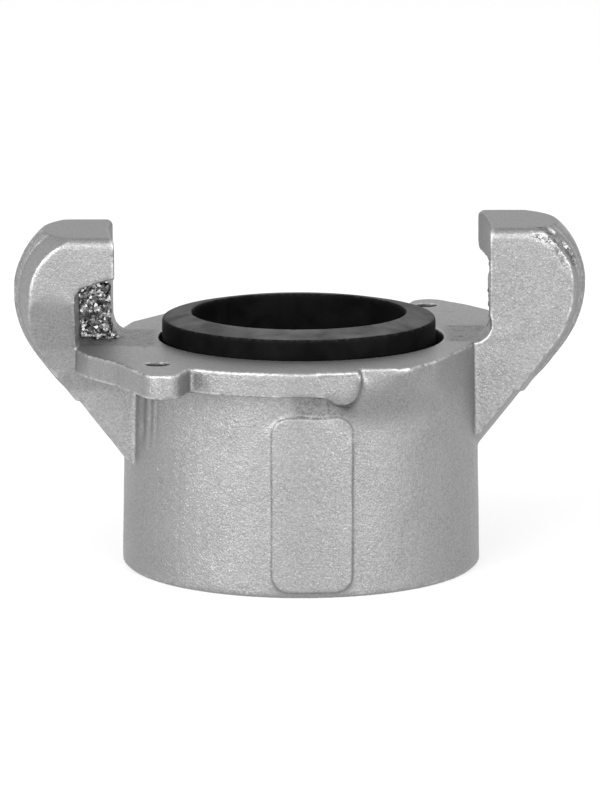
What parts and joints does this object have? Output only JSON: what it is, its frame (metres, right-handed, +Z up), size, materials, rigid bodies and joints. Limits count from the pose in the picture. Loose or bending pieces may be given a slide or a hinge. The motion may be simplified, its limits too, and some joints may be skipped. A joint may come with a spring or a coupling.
{
  "type": "claw hose coupling",
  "caption": "Cast aluminium claw coupling half with a threaded pipe socket, two hooked claws, cam wings and a raised rubber gasket.",
  "frame": {"origin": "centre of the open pipe end, which the coupling stands on", "axes": "+Z up along the pipe axis to the sealing face, +X to the right-hand claw, -Y to the front with the raised pad"},
  "size_m": [0.0954, 0.0746, 0.0575],
  "materials": {
    "cast_aluminium": "as-cast, blasted matt grey with fine sparkle",
    "black_rubber": "matt moulded black rubber"
  },
  "bodies": {
    "root": {"coupling_body": "cast_aluminium", "gasket": "black_rubber"}
  },
  "joints": []
}
